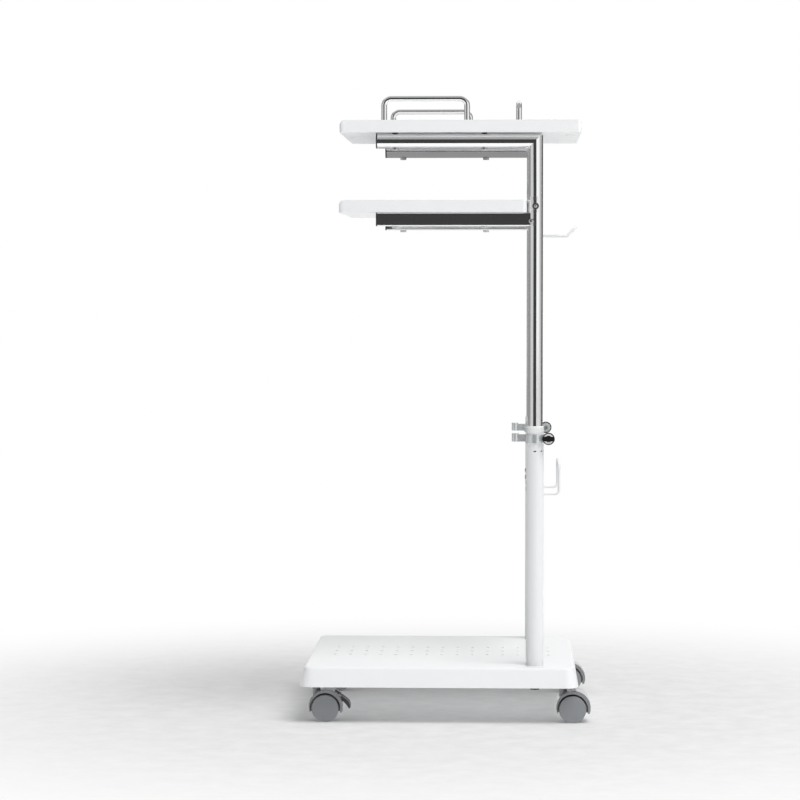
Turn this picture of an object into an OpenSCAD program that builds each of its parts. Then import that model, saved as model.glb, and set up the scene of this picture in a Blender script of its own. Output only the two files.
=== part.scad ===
// Height-adjustable projector cart: a perforated steel deck on four twin-wheel
// casters, two telescopic masts and two shelves, with wire guards and cable hooks.
// Millimetres. +Z is up, -X is the front, -Y is the left side. The origin lies on
// the floor, under the middle of the cart's length and width.

/* [Base deck] */
// Length of the base deck at its lower rim, front to rear
base_l = 408; // [396:2:440]
// Width of the base deck at its lower rim
base_w = 400; // [392:4:440]
// Height of the deck's skirt
base_h = 29; // [24:1:36]
// Thickness of the deck's sheet
base_t = 1.6; // [1.2:0.1:2.5]
// How far the skirt leans in from rim to top on each side
base_flare = 6.5; // [3:0.5:8]
// Plan radius of the deck's corners at the rim
base_corner_r = 20; // [18:1:36]
// Outer radius of the bend between skirt and top
base_bend_r = 5; // [4:0.5:8]
// Diameter of one perforation
perf_d = 6; // [4:0.5:8]
// Least distance of the outermost perforations from the deck's bend
perf_margin = 22; // [17:1:28]
// Rows of perforations
perf_rows = 3; // [1:1:3]
// Spacing of the perforations along a row
perf_pitch_x = 23; // [16:0.5:24]
// Spacing of the rows
perf_pitch_y = 44; // [20:1:60]

/* [Base rails] */
// Width of a channel rail under the deck
rail_w = 36; // [30:1:40]
// Wall of a rail
rail_t = 2; // [1.5:0.1:3]
// How far the rails stay up inside the skirt
rail_inset = 3; // [1:0.5:4]
// Gap between a rail's end and the start of the deck's bend
rail_end_gap = 1; // [0.5:0.5:4]

/* [Casters] */
// Radius of a caster wheel
wheel_r = 20; // [18:0.5:22]
// Distance of a caster's swivel axis from the deck's rim
king_inset = 22.5; // [19:0.5:24]
// Trail of the wheel axis behind the swivel axis
trail = 14; // [12:0.5:16]
// Half of a caster's width over its wheels
caster_half = 19; // [17:0.5:22]
// Half thickness of the hood's middle web
web_half = 3.5; // [3:0.1:4.5]
// Gap between the web and a wheel
wheel_side_gap = 0.5; // [0.4:0.1:1]
// Inner radius of the hood, round the wheel axis
hood_in_r = 22.6; // [22.5:0.1:22.8]
// Outer radius of the hood
hood_out_r = 25.2; // [25:0.1:26]
// How far the hood's outside sits behind the wheel axis
hood_back = 1.2; // [0:0.1:1.2]
// Height of the hood's centre above the wheel axis
hood_up = 2.5; // [1.5:0.1:3]
// How far the hood comes down below the wheel axis
hood_drop = 6; // [5:0.5:8]
// Chamfer round the hood's side edges
hood_edge = 0.8; // [0.4:0.1:1]
// Wall of a wheel's rim
rim_t = 3; // [2:0.5:5]
// Thickness of a wheel's closed outer disc
disc_t = 2.5; // [2.1:0.1:3.5]
// Chamfer at a wheel's rim
rim_edge = 1; // [0.5:0.1:1.5]
// Radius of a wheel's hub
hub_r = 6.5; // [5:0.5:9]
// Radius of the axle
axle_r = 3; // [2.5:0.1:3.5]
// How far the axle stays short of the closed end of its bore
axle_end_gap = 0.5; // [0.4:0.1:1]
// Radius of the swivel boss on the hood
boss_r = 6; // [5:0.5:7]
// Height of the swivel boss above the floor
boss_top = 52; // [51:0.5:54]
// Radius of the swivel pin
king_r = 3; // [2.5:0.1:3.2]
// How deep the swivel pin reaches into the boss
king_l = 11; // [9:0.5:12]
// Width across flats of the stem's hexagon collar
collar_af = 12.5; // [10:0.5:14]
// Height of the stem's hexagon collar
collar_h = 4.7; // [3:0.1:7]
// Radius of the stem's threaded stud
stud_r = 4; // [3:0.5:4]
// Width across flats of the stud's nut
nut_af = 13; // [10:0.5:13]
// Height of the stud's nut
nut_h = 6.5; // [4:0.5:8]
// Length of stud that shows above its nut
stud_over = 2; // [0.5:0.5:4]

/* [Brakes] */
// Place of the pedal's axis behind the wheel axis
pivot_x = 19.5; // [19:0.1:20]
// Height of the pedal's axis above the wheel axis
pivot_z = 16.5; // [16:0.1:17]
// Radius of the pedal's barrel
barrel_r = 2.3; // [2:0.1:2.4]
// Radius of the pedal's two trunnions
trunnion_r = 1.5; // [1.2:0.1:1.7]
// How far a trunnion reaches into the hood's cheek
trunnion_l = 4; // [3:0.5:4.5]
// Radius of the hood's lugs that hold the trunnions
lug_r = 3.2; // [3:0.1:3.6]
// Wall that closes a trunnion's bore
lug_wall = 1.5; // [1:0.1:2]
// Half width of the pedal
pedal_half = 12; // [10:0.5:12.5]
// How far the pedal's tip reaches behind its axis
pedal_l = 17; // [14:0.5:20]
// How far the pedal's lip comes down below its axis
pedal_drop = 17.5; // [16:0.5:21]
// Width of one brake shoe
shoe_w = 7; // [4:0.5:7.3]
// Gap between a shoe and the tread with the brake on
shoe_gap = 0.5; // [0.4:0.1:0.8]

/* [Masts] */
// Distance of the masts from the deck's side rims
mast_side = 40; // [36:1:48]
// Distance of the masts from the deck's rear rim
mast_rear = 64; // [55:1:80]
// Radius of an outer mast
mast_r = 12.7; // [12.5:0.1:13.5]
// Length of an outer mast
mast_l = 340; // [300:1:420]
// Radius of an inner mast
inner_r = 11.1; // [10.5:0.1:11.2]
// Wall of the inner masts and of the upper arms
inner_t = 1.2; // [1:0.1:2]
// How far the inner masts stand in the outer ones
insert_l = 150; // [120:1:180]
// Height of the plug in a mast's foot
plug_h = 17; // [12:1:17]
// Height of the bush on an outer mast
cap_h = 12; // [8:0.5:18]
// Rounding at the top of the bush
cap_round = 3; // [1:0.5:4]
// Width of a small slot near the mast's top
slot_w = 6; // [3:0.5:7]
// Height of a small slot
slot_h = 2; // [1.5:0.5:2.5]
// Distance of the slots below the mast's top
slot_down = 25; // [18:1:40]
// Radius of the bolt in a mast's foot
bolt_r = 4; // [3:0.5:5]
// Width across flats of the bolt's head
bolt_af = 13; // [10:0.5:16]
// Height of the bolt's head
bolt_head_h = 5.3; // [4:0.1:6]
// Radius of the collar between the bolt's head and the rail
bolt_collar_r = 9; // [7.6:0.1:12]
// Height of the bolt's collar
bolt_collar_h = 4.4; // [1:0.1:5]
// Length of bolt inside the plug
bolt_in_plug = 15; // [8:1:16]

/* [Clamps] */
// Height of a clamp ring
clamp_h = 12.4; // [9:0.2:14]
// Wall of a clamp ring
clamp_t = 1.8; // [1.5:0.1:4]
// Distance of the clamp's top below the mast's top
clamp_down = 0.3; // [0:0.1:6]
// Distance of the clamp's round boss in front of the mast
clamp_boss_x = 29.1; // [24:0.1:34]
// Radius of the clamp's round boss
clamp_boss_r = 5.1; // [4.5:0.1:8]
// How far the boss stands above the ring
clamp_boss_rise = 1.6; // [0.3:0.1:3]
// How far the boss and its arm stay up from the ring's underside
clamp_boss_up = 1.8; // [0.5:0.1:3]
// Width of the arm between ring and boss
clamp_arm_w = 8; // [5:0.5:12]
// Distance of the clamp screw behind the mast
ear_x = 19.5; // [19:0.5:24]
// Width over both ears
ear_w = 12; // [10:0.5:12]
// Width of the slit between the ears
split_w = 2.5; // [1.5:0.1:4]
// Radius of the clamp screw
clamp_screw_r = 3; // [2:0.1:3]
// How far the knob's face stands out from the mast's middle
knob_out = 19; // [18:0.5:26]
// Radius of the knob
knob_r = 9; // [8:0.5:11]
// Thickness of the knob's disc
knob_disc_t = 4; // [3:0.5:5]
// How far the rim of the knob's domed face lies behind its middle
knob_dome = 2; // [0.5:0.5:2.5]
// Height of the grip bar on the knob
knob_bar_h = 3.5; // [2:0.5:5]
// Width of the grip bar on the knob
knob_bar_w = 7; // [3:0.5:8]
// Radius of the knob's hub
knob_hub_r = 4.6; // [4:0.1:6]

/* [Lower cross plate and hook] */
// Height of the cross plate's lower edge above the floor
plate_z = 325.5; // [250:0.5:340]
// Height of the cross plate
plate_h = 40; // [36:1:60]
// Sheet thickness of the cross plate
plate_t = 1.5; // [1:0.1:2.5]
// Distance of the plate's front face before the mast axes
plate_x = 11.5; // [10:0.1:13]
// Depth of the plate's two flanges
plate_d = 12; // [6:0.5:16]
// Gap between the plate's end and an outer mast
plate_end_gap = 1.3; // [0.5:0.1:3]
// Thickness of a mast's tab for the plate
tab_t = 2; // [1.5:0.1:3]
// Reach of a tab from the mast's middle
tab_l = 30; // [26:1:40]
// Height of a tab
tab_h = 24; // [22:1:30]
// Distance of the plate's screws from the mast's middle
plate_screw_y = 20; // [18:0.5:24]
// Distance between a tab's two screws
plate_screw_pitch = 10.6; // [8:0.2:14]
// Radius of a plate screw's head
plate_head_r = 3.2; // [2.5:0.1:4]
// Height of a plate screw's head
plate_head_h = 2; // [1:0.1:3]
// Radius of a plate screw
plate_screw_r = 1.8; // [1.5:0.1:2.2]
// Wire radius of both cable hooks
hook_r = 2; // [1.5:0.1:3]
// Width of the lower hook, between its wires' centres
lower_hook_w = 155; // [80:5:220]
// Reach of the lower hook behind the mast axes
lower_hook_reach = 36.5; // [25:0.5:60]
// Height of the lower hook's bar above its floor wires
lower_hook_h = 43; // [25:1:70]
// Bend radius of the hooks' wires, at the wire's centre
hook_bend_r = 6; // [4:0.5:8]

/* [Upper frame] */
// Height of the upper arms' axes above the floor, cart at rest
arm_z = 851.5; // [780:0.5:880]
// Reach of the upper arms in front of the mast axes
arm_reach = 231; // [210:1:260]
// How much of the outer corner between mast and arm is cut away
mitre_cut = 1.2; // [0.4:0.1:1.4]
// Flange thickness of the plugs in the arms' ends
arm_plug_t = 2; // [1:0.1:4]
// How far a plug reaches into its arm
arm_plug_l = 12; // [6:1:20]
// Height of the upper cross tube's axis
cross_z = 717; // [640:1:717]
// Radius of the upper cross tube
cross_r = 8; // [6:0.5:8.5]
// Wall of the upper cross tube
cross_t = 1.2; // [1:0.1:2]
// Width of the upper hook, between its wires' centres
upper_hook_w = 26; // [18:1:60]
// Reach of the upper hook's level part behind the mast axes
upper_hook_reach = 49; // [30:1:70]
// Length of the upper hook's raised tip, measured level
upper_hook_tip = 13; // [11:0.5:25]
// How far the upper hook sits below the cross tube's axis
upper_hook_down = 2; // [0:0.5:4]

/* [Shelves] */
// Thickness of both boards
board_t = 18; // [15:1:22]
// How far both boards reach out to the side past the mast axes
board_side = 15; // [12:0.5:25]
// Reach of the upper board in front of the mast axes
upper_front = 286; // [262:1:320]
// Reach of the upper board behind the mast axes
upper_rear = 67; // [20:1:80]
// Reach of the lower board in front of the mast axes
lower_front = 287; // [262:1:320]
// Gap between the lower board and the mast axes
lower_rear = 12.6; // [12.6:0.1:20]
// Length of the boards' rounded front nose
nose_l = 7.5; // [4:0.5:14]
// Height of the boards' rounded front nose
nose_h = 8.5; // [6:0.5:12]
// Rounding at the boards' rear top edge
rear_round = 3; // [1:0.5:4]
// Plan radius at the boards' corners
board_corner_r = 6; // [2:0.5:12]
// Thickness of the pads between the upper arms and the board
pad_t = 0.8; // [0.4:0.1:2]
// Radius of a pad
pad_r = 4.5; // [4:0.5:9]
// Distance of the front shelf screws behind the arms' front ends
screw_in = 26; // [24:1:60]
// Distance of the rear shelf screws before the mast axes
screw_rear = 75; // [40:1:100]
// Radius of a shelf screw
screw_r = 2; // [1.5:0.1:2.5]
// Radius of a shelf screw's head
screw_head_r = 4.8; // [3:0.1:5]
// Height of a shelf screw's head
screw_head_h = 3; // [1.5:0.1:3.5]
// Depth of a shelf screw in its board
screw_bite = 12; // [8:0.5:13]

/* [Lower arms and saddles] */
// Height of the lower arms' underside above the floor
lower_arm_z = 727; // [726.5:0.5:760]
// Side of the lower arms' square tube
lower_arm_a = 20; // [16:0.5:20]
// Wall of the lower arms
lower_arm_t = 1.5; // [1:0.1:2.5]
// Rounding along the lower arms' edges
lower_arm_round = 2; // [0.5:0.5:3]
// Reach of the lower arms in front of the mast axes
lower_arm_reach = 231; // [210:1:250]
// Flange thickness of the caps in the lower arms' ends
arm_cap_t = 2; // [1:0.1:4]
// Wall of a saddle round its mast
saddle_t = 1.2; // [1:0.1:2]
// Height of a saddle
saddle_h = 43; // [36:1:48]
// Reach of a saddle behind the mast's axis
saddle_back = 6; // [5:0.5:8]
// Distance of the saddle's narrower lower part before the mast's axis
saddle_low_x = 1; // [0.5:0.5:2]
// Height of the saddle bolt above the arm's underside
saddle_bolt_up = 29; // [26:0.5:31]
// Radius of a saddle bolt
saddle_bolt_r = 3; // [2:0.1:3]
// Radius of a saddle bolt's head
saddle_head_r = 4.35; // [3.5:0.05:5]
// Height of a saddle bolt's head
saddle_head_h = 3; // [2:0.1:4]
// Height of the saddle's small screw above the arm's underside
saddle_screw_up = 7; // [6:0.5:9]
// Distance of the small screw before the mast's axis
saddle_screw_x = 6.6; // [6:0.1:8]
// Radius of the small screw
saddle_screw_r = 1.8; // [1.2:0.1:2]
// Radius of the small screw's head
saddle_screw_head_r = 3.35; // [2.5:0.05:3.5]
// Height of the small screw's head
saddle_screw_head_h = 1.8; // [1:0.1:2.5]

/* [Guards] */
// Wire radius of the guards
guard_r = 4.25; // [2.5:0.25:4.5]
// Distance between a guard's two legs
guard_pitch = 121; // [60:1:140]
// How far a guard stands above its board
guard_rise = 36; // [25:0.5:60]
// Bend radius of a guard, at the wire's centre
guard_bend_r = 10.5; // [6:0.5:14]
// Depth of a guard's legs in the board
guard_bite = 13; // [8:0.5:13]
// Distance of the side guards from the board's side edges
guard_side = 12; // [11:0.5:25]
// Distance of the side guards' middle before the mast axes
guard_x = 160.5; // [110:0.5:190]
// Distance of the rear guard before the mast axes
guard_rear_x = 24; // [10:0.5:30]

/* [Clearances] */
// Running clearance round a turning pin or axle, on the radius
pin_gap = 0.05; // [0.03:0.01:0.1]
// Sliding clearance round an inner mast, on the radius
slide_gap = 0.08; // [0.05:0.01:0.1]
// Gap round a piece that is pressed or clamped in place, on the radius
press_gap = 0.02; // [0.01:0.01:0.04]
// Gap round a screw that passes through a hole, on the radius
hole_gap = 0.25; // [0.1:0.05:0.4]
// Gap between two pieces that move past each other
move_gap = 0.3; // [0.3:0.05:0.5]

/* [Hidden] */
$fn = 64;
// Extra length of every cut past the face that it opens
over = 1;

// Places along X: the cart's front rim and its rearmost hoods lie equally far
// from the origin
king_x = base_l / 2 - king_inset;
base_x = (base_l / 2 - king_x - trail - hood_back - hood_out_r) / 2;
mast_x = base_x + base_l / 2 - mast_rear;
mast_y = base_w / 2 - mast_side;
board_w = 2 * (mast_y + board_side);
guard_y = board_w / 2 - guard_side;
upper_screws = [arm_reach - screw_in, screw_rear];
lower_screws = [lower_arm_reach - screw_in, screw_rear];

// Heights from the floor up
rail_z = boss_top + move_gap + collar_h;
base_z = rail_z - rail_inset;
deck_top = base_z + base_h;
deck_low = deck_top - base_t;
mast_top = deck_top + mast_l;
cap_top = mast_top + cap_h;
inner_bottom = mast_top - insert_l;
mast_bore_r = inner_r + slide_gap;
upper_z = arm_z + inner_r + pad_t;
upper_top = upper_z + board_t;
lower_z = lower_arm_z + lower_arm_a;
guard_top = upper_top + guard_rise;

// Lean of the deck's skirt from upright
lean = atan(base_flare / base_h);
// Flat part of the deck's top, measured from its middle
deck_flat = base_l / 2 - base_flare - base_bend_r;
rail_half = deck_flat - rail_end_gap;
perf_cols = floor(2 * (deck_flat - perf_margin) / perf_pitch_x) + 1;
bend_steps = 5;
nose_steps = 8;

// Underside of the clamp ring on its mast, and the places along its screw
clamp_z = mast_top - clamp_down - clamp_h;
clamp_r = mast_r + press_gap + clamp_t;
knob_in = ear_w / 2 + move_gap;
knob_back = knob_out - knob_bar_h - knob_disc_t;

// Outer radius of a saddle, and of the cope that it leaves in its arm
saddle_r = inner_r + press_gap + saddle_t;

// The pedal's axis lies this far from the wheel's axis
pivot_r = sqrt(pivot_x * pivot_x + pivot_z * pivot_z);
pivot_a = atan2(pivot_z, pivot_x);
trunnion_end = pedal_half + trunnion_l + move_gap;
lug_half = trunnion_end + lug_wall;
shoe_l = pivot_r - wheel_r - shoe_gap;

// ---- Helpers ----

// A copy on the other side of the cart's middle plane
module right_side() {
    mirror([0, 1, 0]) children();
}

// The left mast's axis
module at_mast() {
    translate([mast_x, -mast_y, 0]) children();
}

// Both mast axes
module at_masts() {
    at_mast() children();
    right_side() at_mast() children();
}

// A caster's swivel axis: end is -1 at the front and 1 at the rear
module at_king(end) {
    translate([base_x + end * king_x, -mast_y, 0]) children();
}

// A caster's wheel axis
module at_wheel(end) {
    at_king(end) translate([trail, 0, wheel_r]) children();
}

// All four swivel axes
module at_kings() {
    for (end = [-1, 1]) {
        at_king(end) children();
        right_side() at_king(end) children();
    }
}

// A rod along Y, from its left end at y0 to y1
module rod_y(r, y0, y1) {
    translate([0, y1, 0]) rotate([90, 0, 0]) cylinder(r = r, h = y1 - y0);
}

// A flat outline in X and Z, made w wide along Y
module slab_y(w) {
    rotate([90, 0, 0]) linear_extrude(height = w, center = true) children();
}

// A tube that stands on z = 0
module tube(r, wall, h) {
    difference() {
        cylinder(r = r, h = h);
        translate([0, 0, -over]) cylinder(r = r - wall, h = h + 2 * over);
    }
}

// A hexagon prism, flats facing X, af across the flats
module hexagon(af, h) {
    rotate([0, 0, 30]) cylinder(r = af / sqrt(3), h = h, $fn = 6);
}

// A wire bend in the plane of X and Z, from -Z round to +X about its own centre
module wire_bend(wire, bend, turn) {
    rotate([90, 0, 0]) rotate_extrude(angle = turn, $fn = 48)
        translate([bend, 0, 0]) circle(r = wire, $fn = 32);
}

// An upside-down U of wire in the plane of X and Z, its legs' foot at z = 0
module wire_arch(wire, bend, pitch, h) {
    for (side = [-1, 1])
        translate([side * pitch / 2, 0, 0]) cylinder(r = wire, h = h - wire - bend, $fn = 32);
    translate([bend - pitch / 2, 0, h - wire]) rotate([0, 90, 0])
        cylinder(r = wire, h = pitch - 2 * bend, $fn = 32);
    translate([pitch / 2 - bend, 0, h - wire - bend]) wire_bend(wire, bend, 90);
    translate([bend - pitch / 2, 0, h - wire - bend]) rotate([0, -90, 0]) wire_bend(wire, bend, 90);
}

// ---- Base deck ----

// The skirt's section from a corner's centre outward; inset is how far inside
// the outer face it lies, foot is how far it goes on below the rim
function skirt_section(inset, foot) =
    let (
        cz = base_h - base_bend_r,
        cx = base_corner_r - cz * tan(lean) - base_bend_r / cos(lean),
        rim = base_corner_r - inset / cos(lean)
    )
    concat(
        [[0, -foot], [rim + foot * tan(lean), -foot]],
        [for (i = [0 : bend_steps])
            let (a = lean + (90 - lean) * i / bend_steps)
            [cx + (base_bend_r - inset) * cos(a), cz + (base_bend_r - inset) * sin(a)]],
        [[0, base_h - inset]]
    );

// A block with the deck's outer form, or with its inner form at the given inset
module deck_form(inset, foot) {
    section = skirt_section(inset, foot);
    run_x = base_l / 2 - base_corner_r;
    run_y = base_w / 2 - base_corner_r;
    for (quarter = [0 : 3]) {
        sx = quarter == 0 || quarter == 3 ? 1 : -1;
        sy = quarter < 2 ? 1 : -1;
        translate([sx * run_x, sy * run_y, 0]) rotate([0, 0, 90 * quarter])
            rotate_extrude(angle = 90) polygon(section);
    }
    for (side = [0, 180]) {
        rotate([0, 0, side]) translate([run_x, run_y, 0]) rotate([90, 0, 0])
            linear_extrude(height = 2 * run_y) polygon(section);
        rotate([0, 0, side]) translate([-run_x, run_y, 0]) rotate([90, 0, 90])
            linear_extrude(height = 2 * run_x) polygon(section);
    }
    translate([-run_x, -run_y, -foot])
        cube([2 * run_x, 2 * run_y, base_h - inset + foot]);
}

module base_deck() {
    color("gainsboro") difference() {
        translate([base_x, 0, base_z]) difference() {
            deck_form(0, 0);
            deck_form(base_t, over);
        }
        for (i = [0 : perf_cols - 1], j = [0 : perf_rows - 1])
            translate([
                base_x + (i - (perf_cols - 1) / 2) * perf_pitch_x,
                (j - (perf_rows - 1) / 2) * perf_pitch_y,
                deck_low - over
            ]) cylinder(d = perf_d, h = base_t + 2 * over, $fn = 24);
        at_masts() translate([0, 0, deck_low - over])
            cylinder(r = bolt_r + hole_gap, h = base_t + 2 * over);
    }
}

module rail_form() {
    difference() {
        translate([base_x - rail_half, -mast_y - rail_w / 2, rail_z])
            cube([2 * rail_half, rail_w, deck_low - rail_z]);
        translate([base_x - rail_half - over, -mast_y - rail_w / 2 + rail_t, rail_z + rail_t])
            cube([2 * (rail_half + over), rail_w - 2 * rail_t, deck_low - rail_z]);
        for (end = [-1, 1]) at_king(end) translate([0, 0, rail_z - over])
            cylinder(r = stud_r + hole_gap, h = rail_t + 2 * over);
        at_mast() translate([0, 0, rail_z - over])
            cylinder(r = bolt_r + hole_gap, h = rail_t + 2 * over);
    }
}

module base_rail_left() { color("silver") rail_form(); }
module base_rail_right() { color("silver") right_side() rail_form(); }

module caster_stems() {
    color("dimgray") at_kings() {
        translate([0, 0, boss_top - king_l])
            cylinder(r = king_r, h = king_l + move_gap + collar_h / 2);
        translate([0, 0, boss_top + move_gap]) hexagon(collar_af, collar_h);
        translate([0, 0, rail_z - collar_h / 2])
            cylinder(r = stud_r, h = collar_h / 2 + rail_t + nut_h + stud_over);
    }
}

module caster_nuts() {
    color("silver") at_kings() translate([0, 0, rail_z + rail_t]) difference() {
        hexagon(nut_af, nut_h);
        translate([0, 0, -over]) cylinder(r = stud_r + press_gap, h = nut_h + 2 * over);
    }
}

module mast_bolts() {
    color("dimgray") at_masts() {
        translate([0, 0, rail_z - bolt_collar_h - bolt_head_h])
            hexagon(bolt_af, bolt_head_h + bolt_collar_h / 2);
        translate([0, 0, rail_z - bolt_collar_h]) cylinder(r = bolt_collar_r, h = bolt_collar_h);
        translate([0, 0, rail_z - bolt_collar_h / 2])
            cylinder(r = bolt_r, h = bolt_collar_h / 2 + deck_top + bolt_in_plug - rail_z);
    }
}

// ---- Casters ----

// The hood's outer drum, chamfered at its sides
module hood_drum() {
    rotate([90, 0, 0]) rotate_extrude() polygon([
        [0, -caster_half],
        [hood_out_r - hood_edge, -caster_half],
        [hood_out_r, hood_edge - caster_half],
        [hood_out_r, caster_half - hood_edge],
        [hood_out_r - hood_edge, caster_half],
        [0, caster_half]
    ]);
}

// Everything of the hood that a wheel must not meet, and all below the hood
module hood_cut() {
    for (side = [-1, 1])
        rod_y(hood_in_r,
            side < 0 ? -caster_half - over : web_half,
            side < 0 ? -web_half : caster_half + over);
    translate([-2 * hood_out_r, -2 * caster_half, -hood_drop - 2 * hood_out_r])
        cube([4 * hood_out_r, 4 * caster_half, 2 * hood_out_r]);
}

// The opening in the hood for the pedal: a sector from the wheel's axis
module pedal_window(half) {
    reach = 2 * hood_out_r;
    slab_y(2 * half) difference() {
        polygon([
            [0, 0],
            [reach * cos(pivot_a - 20), reach * sin(pivot_a - 20)],
            [reach * cos(pivot_a + 20), reach * sin(pivot_a + 20)]
        ]);
        circle(r = hood_in_r);
    }
}

module hood_form(brake) {
    difference() {
        union() {
            translate([hood_back, 0, hood_up]) hood_drum();
            translate([-trail, 0, hood_up]) cylinder(r = boss_r, h = boss_top - wheel_r - hood_up);
            if (brake) translate([pivot_x, 0, pivot_z])
                rod_y(lug_r, -lug_half, lug_half);
        }
        hood_cut();
        rod_y(axle_r + press_gap, -web_half - over, web_half + over);
        translate([-trail, 0, boss_top - wheel_r - king_l - move_gap])
            cylinder(r = king_r + pin_gap, h = king_l + move_gap + over);
        if (brake) {
            pedal_window(pedal_half + move_gap);
            translate([pivot_x, 0, pivot_z])
                rod_y(trunnion_r + pin_gap, -trunnion_end, trunnion_end);
        }
    }
}

module axle_form() {
    reach = caster_half - disc_t - axle_end_gap;
    rod_y(axle_r, -reach, reach);
}

// The left one of a caster's two wheels, open towards the web
module wheel_form() {
    inside = web_half + wheel_side_gap;
    rotate([90, 0, 0]) rotate_extrude() polygon([
        [0, caster_half],
        [wheel_r - rim_edge, caster_half],
        [wheel_r, caster_half - rim_edge],
        [wheel_r, inside + rim_edge],
        [wheel_r - rim_edge, inside],
        [wheel_r - rim_t, inside],
        [wheel_r - rim_t, caster_half - disc_t],
        [hub_r, caster_half - disc_t],
        [hub_r, inside],
        [axle_r + pin_gap, inside],
        [axle_r + pin_gap, caster_half - disc_t],
        [0, caster_half - disc_t]
    ]);
}

// The pedal's lever seen from the left, as shares of its reach and its drop
lever_shares = [
    [0.02, 0.13], [0.30, 0.02], [0.67, -0.24], [0.90, -0.46], [1, -0.70],
    [0.98, -1], [0.88, -0.98], [0.76, -0.78], [0.42, -0.40], [-0.02, -0.13]
];

module pedal_form() {
    translate([pivot_x, 0, pivot_z]) {
        slab_y(2 * pedal_half)
            polygon([for (p = lever_shares) [p[0] * pedal_l, p[1] * pedal_drop]]);
        rod_y(barrel_r, -pedal_half, pedal_half);
        rod_y(trunnion_r, -pedal_half - trunnion_l, pedal_half + trunnion_l);
        for (side = [-1, 1])
            translate([0, side * (pedal_half - shoe_w / 2 - move_gap), 0])
                rotate([0, 180 - pivot_a, 0])
                slab_y(shoe_w) polygon([
                    [0, -barrel_r], [shoe_l, -barrel_r / 2], [shoe_l, barrel_r / 2], [0, barrel_r]
                ]);
    }
}

module hood_front_left() { color("darkgray") at_wheel(-1) hood_form(true); }
module hood_front_right() { color("darkgray") right_side() at_wheel(-1) hood_form(true); }
module hood_rear_left() { color("darkgray") at_wheel(1) hood_form(false); }
module hood_rear_right() { color("darkgray") right_side() at_wheel(1) hood_form(false); }
module axle_front_left() { color("silver") at_wheel(-1) axle_form(); }
module axle_front_right() { color("silver") right_side() at_wheel(-1) axle_form(); }
module axle_rear_left() { color("silver") at_wheel(1) axle_form(); }
module axle_rear_right() { color("silver") right_side() at_wheel(1) axle_form(); }
module wheel_front_left_outer() { color("gray") at_wheel(-1) wheel_form(); }
module wheel_front_left_inner() { color("gray") at_wheel(-1) right_side() wheel_form(); }
module wheel_front_right_outer() { color("gray") right_side() at_wheel(-1) wheel_form(); }
module wheel_front_right_inner() { color("gray") right_side() at_wheel(-1) right_side() wheel_form(); }
module wheel_rear_left_outer() { color("gray") at_wheel(1) wheel_form(); }
module wheel_rear_left_inner() { color("gray") at_wheel(1) right_side() wheel_form(); }
module wheel_rear_right_outer() { color("gray") right_side() at_wheel(1) wheel_form(); }
module wheel_rear_right_inner() { color("gray") right_side() at_wheel(1) right_side() wheel_form(); }
module brake_pedal_left() { color("dimgray") at_wheel(-1) pedal_form(); }
module brake_pedal_right() { color("dimgray") right_side() at_wheel(-1) pedal_form(); }

// ---- Outer masts ----

// A flat-ended slot through the mast's wall, seen from outside
module mast_slot(turn) {
    translate([0, 0, mast_top - slot_down]) rotate([0, 0, turn]) rotate([90, 0, 0]) {
        translate([(slot_h - slot_w) / 2, -slot_h / 2, 0])
            cube([slot_w - slot_h, slot_h, mast_r + over]);
        for (side = [-1, 1])
            translate([side * (slot_w - slot_h) / 2, 0, 0])
                cylinder(d = slot_h, h = mast_r + over, $fn = 24);
    }
}

module outer_mast_form() {
    at_mast() difference() {
        union() {
            translate([0, 0, deck_top]) cylinder(r = mast_r, h = mast_l);
            translate([plate_t - plate_x, 0, plate_z + (plate_h - tab_h) / 2])
                cube([tab_t, tab_l, tab_h]);
        }
        translate([0, 0, deck_top - over]) cylinder(r = mast_bore_r, h = mast_l + 2 * over);
        mast_slot(0);
        mast_slot(45);
        plate_screw_holes(plate_screw_r + press_gap);
    }
}

// The two holes of a cross plate's end, along X
module plate_screw_holes(r) {
    for (side = [-1, 1])
        translate([-plate_x - over, plate_screw_y,
            plate_z + plate_h / 2 + side * plate_screw_pitch / 2])
            rotate([0, 90, 0]) cylinder(r = r, h = plate_t + tab_t + 2 * over, $fn = 32);
}

module foot_plug_form() {
    at_mast() translate([0, 0, deck_top]) difference() {
        cylinder(r = mast_bore_r - press_gap, h = plug_h);
        translate([0, 0, -over])
            cylinder(r = bolt_r + press_gap, h = bolt_in_plug + press_gap + over);
    }
}

// The bush on the mast's top: its wall rounds over from the outside to the bore
module bush_form() {
    wall = mast_r - mast_bore_r;
    at_mast() translate([0, 0, mast_top]) rotate_extrude() polygon(concat(
        [[mast_bore_r, 0], [mast_r, 0]],
        [for (i = [0 : bend_steps])
            let (a = 90 * i / bend_steps)
            [mast_bore_r + wall * cos(a), cap_h - cap_round + cap_round * sin(a)]]
    ));
}

module outer_mast_left() { color("white") outer_mast_form(); }
module outer_mast_right() { color("white") right_side() outer_mast_form(); }
module mast_foot_plug_left() { color("dimgray") foot_plug_form(); }
module mast_foot_plug_right() { color("dimgray") right_side() foot_plug_form(); }
module mast_bush_left() { color("whitesmoke") bush_form(); }
module mast_bush_right() { color("whitesmoke") right_side() bush_form(); }

// ---- Clamps ----

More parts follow.
